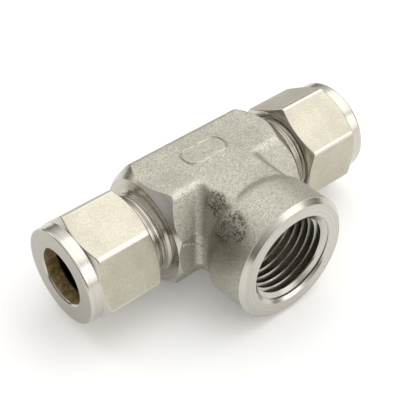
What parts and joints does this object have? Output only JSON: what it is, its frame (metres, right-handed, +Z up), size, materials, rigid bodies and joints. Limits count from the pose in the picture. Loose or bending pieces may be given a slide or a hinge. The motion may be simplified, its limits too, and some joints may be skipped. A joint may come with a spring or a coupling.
{
  "type": "compression fitting",
  "caption": "Stainless tee fitting: tube ends with nuts and twin ferrules on the run, and a female taper pipe thread on the branch.",
  "frame": {"origin": "where the run's axis and the branch's axis cross, at mid height of the forging", "axes": "+X along the run towards the right nut, -Y out of the branch mouth, +Z up, square to both"},
  "size_m": [0.0784, 0.0403, 0.029],
  "materials": {
    "forged_body": "fine blasted forging with turned ends",
    "bar_nut": "satin bar stock with a turned collar",
    "ferrule": "turned, smooth"
  },
  "bodies": {
    "tee_body": {"tee_body": "forged_body"},
    "left_front_ferrule": {"left_front_ferrule": "ferrule"},
    "left_back_ferrule": {"left_back_ferrule": "ferrule"},
    "left_nut": {"left_nut": "bar_nut"},
    "right_front_ferrule": {"right_front_ferrule": "ferrule"},
    "right_back_ferrule": {"right_back_ferrule": "ferrule"},
    "right_nut": {"right_nut": "bar_nut"}
  },
  "joints": [
    {"name": "left_nut_turn", "type": "hinge", "parent": "left_back_ferrule", "child": "left_nut", "pos_m": [-0.03, 0, 0], "axis": [-1, 0, 0], "range_deg": [0, 2340]},
    {"name": "left_back_ferrule_slide", "type": "slide", "parent": "tee_body", "child": "left_back_ferrule", "axis": [-1, 0, 0], "range_m": [0, 0.00826]},
    {"name": "left_front_ferrule_slide", "type": "slide", "parent": "tee_body", "child": "left_front_ferrule", "axis": [-1, 0, 0], "range_m": [0, 0.00826]},
    {"name": "right_nut_turn", "type": "hinge", "parent": "right_back_ferrule", "child": "right_nut", "pos_m": [0.03, 0, 0], "axis": [1, 0, 0], "range_deg": [0, 2340]},
    {"name": "right_back_ferrule_slide", "type": "slide", "parent": "tee_body", "child": "right_back_ferrule", "axis": [1, 0, 0], "range_m": [0, 0.00826]},
    {"name": "right_front_ferrule_slide", "type": "slide", "parent": "tee_body", "child": "right_front_ferrule", "axis": [1, 0, 0], "range_m": [0, 0.00826]}
  ],
  "couplings": [
    {"joint": "left_back_ferrule_slide", "follows": "left_nut_turn", "m_per_rad": 0.00020213},
    {"joint": "left_front_ferrule_slide", "follows": "left_nut_turn", "m_per_rad": 0.00020213},
    {"joint": "right_back_ferrule_slide", "follows": "right_nut_turn", "m_per_rad": 0.00020213},
    {"joint": "right_front_ferrule_slide", "follows": "right_nut_turn", "m_per_rad": 0.00020213}
  ]
}
